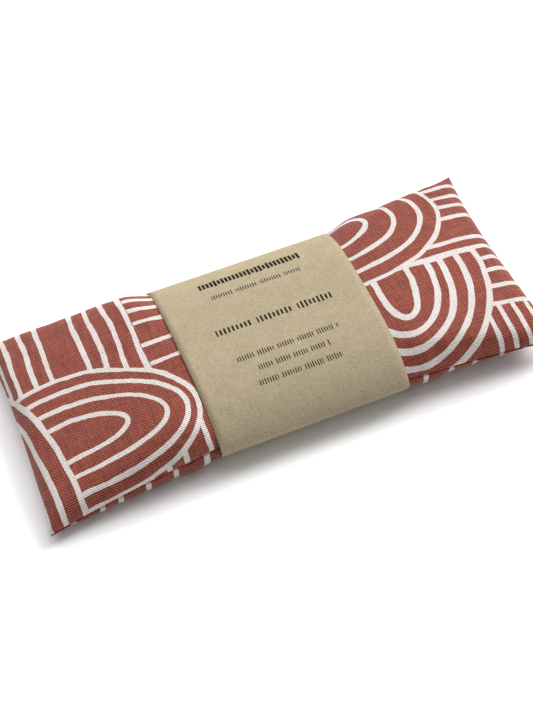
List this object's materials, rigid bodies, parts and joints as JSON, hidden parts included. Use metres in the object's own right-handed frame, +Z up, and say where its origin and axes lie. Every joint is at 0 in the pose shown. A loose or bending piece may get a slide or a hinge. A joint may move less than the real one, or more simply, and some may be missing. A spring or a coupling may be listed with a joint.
{
  "type": "eye pillow",
  "caption": "Grain-filled cotton canvas eye pillow with an inner muslin pouch, held in a sliding kraft paper belly band.",
  "frame": {"origin": "middle of the object's footprint, on the surface that it lies on", "axes": "+X along the pillow, +Y across it towards the rear long seam, +Z up through the printed top"},
  "size_m": [0.2348, 0.098, 0.027],
  "materials": {
    "printed_canvas": "matte",
    "cotton_thread": "matte",
    "muslin": "matte",
    "muslin_thread": "matte",
    "flax_seed": "satin",
    "lavender": "matte",
    "kraft_paper": "matte",
    "dried_glue": "satin"
  },
  "bodies": {
    "pillow": {"cover_top": "printed_canvas", "cover_bottom": "printed_canvas", "seam_thread_rear": "cotton_thread", "seam_thread_front": "cotton_thread", "seam_thread_left": "cotton_thread", "closing_stitches": "cotton_thread", "pouch_top": "muslin", "pouch_bottom": "muslin", "pouch_seam_thread": "muslin_thread", "flax_seed_fill": "flax_seed", "lavender_buds": "lavender"},
    "band": {"paper_band": "kraft_paper", "band_glue_strip": "dried_glue"}
  },
  "joints": [
    {"name": "band_slide", "type": "slide", "parent": "pillow", "child": "band", "axis": [1, 0, 0], "range_m": [-0.17, 0.165]}
  ]
}
